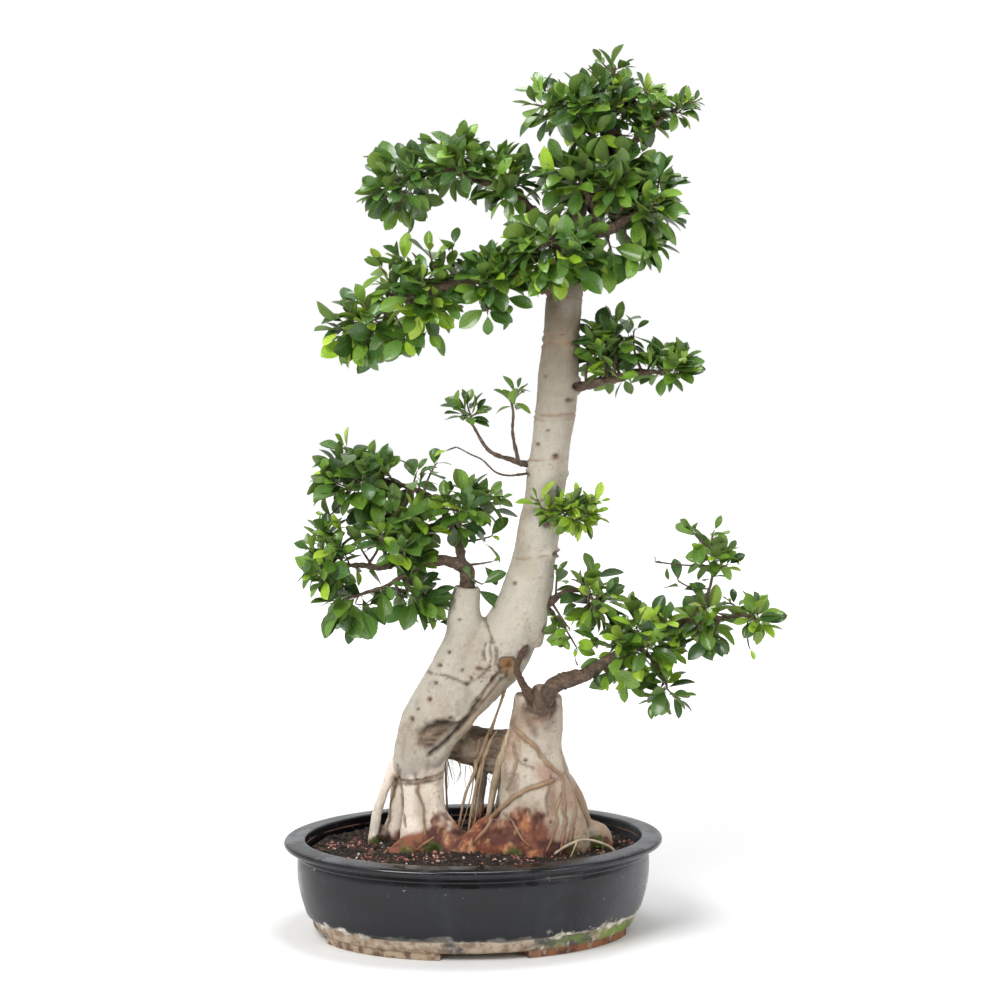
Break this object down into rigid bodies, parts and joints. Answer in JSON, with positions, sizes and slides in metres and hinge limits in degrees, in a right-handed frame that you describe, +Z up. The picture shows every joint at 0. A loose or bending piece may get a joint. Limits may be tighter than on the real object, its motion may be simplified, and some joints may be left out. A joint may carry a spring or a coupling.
{
  "type": "potted bonsai tree",
  "caption": "Indoor fig bonsai with a leaning pale trunk on spread roots, sawn stumps and glossy leaf tufts, planted in an oval dark glazed pot with a wide rim and low feet.",
  "frame": {"origin": "middle of the object's footprint, on the plane under the feet", "axes": "+Z up, +X along the pot's long axis towards the lower right branch, -Y towards the tree's face"},
  "size_m": [0.732, 0.42, 1.2916],
  "materials": {
    "glazed_stoneware": "gloss",
    "soil_mix": "matte",
    "mesh_plastic": "matte",
    "pale_bark": "matte",
    "brown_bark": "matte",
    "root_bark": "matte",
    "leaf": "gloss"
  },
  "bodies": {
    "root": {"branch_behind_stump": "brown_bark", "branch_crown_back": "brown_bark", "branch_crown_front": "brown_bark", "branch_crown_low_right": "brown_bark", "branch_crown_right": "brown_bark", "branch_front_shoot": "brown_bark", "branch_leader": "brown_bark", "branch_left_twig": "brown_bark", "branch_low_left": "brown_bark", "branch_low_right": "brown_bark", "branch_middle_left": "brown_bark", "branch_right": "brown_bark", "branch_trunk_right": "brown_bark", "branch_upper_left": "brown_bark", "drainage_mesh_left": "mesh_plastic", "drainage_mesh_right": "mesh_plastic", "leaves_apex": "leaf", "leaves_behind_stump": "leaf", "leaves_crown_back": "leaf", "leaves_crown_low": "leaf", "leaves_crown_low_right": "leaf", "leaves_crown_middle": "leaf", "leaves_crown_right_tip": "leaf", "leaves_crown_top": "leaf", "leaves_crown_top_right": "leaf", "leaves_front_shoot": "leaf", "leaves_left_twig": "leaf", "leaves_left_twig_upper": "leaf", "leaves_low_left_bottom": "leaf", "leaves_low_left_bottom_inner": "leaf", "leaves_low_left_inner": "leaf", "leaves_low_left_middle": "leaf", "leaves_low_left_outer": "leaf", "leaves_low_left_top": "leaf", "leaves_low_right_bottom": "leaf", "leaves_low_right_inner": "leaf", "leaves_low_right_middle": "leaf", "leaves_low_right_outer": "leaf", "leaves_low_right_tip": "leaf", "leaves_low_right_top": "leaf", "leaves_middle_left_inner": "leaf", "leaves_middle_left_middle": "leaf", "leaves_middle_left_tip": "leaf", "leaves_right_inner": "leaf", "leaves_right_tip": "leaf", "leaves_upper_left_inner": "leaf", "leaves_upper_left_middle": "leaf", "leaves_upper_left_tip": "leaf", "pot": "glazed_stoneware", "root_aerial_left": "root_bark", "root_aerial_long": "root_bark", "root_aerial_middle": "root_bark", "root_aerial_near_leg": "root_bark", "root_climbing": "root_bark", "root_surface": "root_bark", "root_tan": "root_bark", "soil": "soil_mix", "trunk": "pale_bark"}
  },
  "joints": []
}
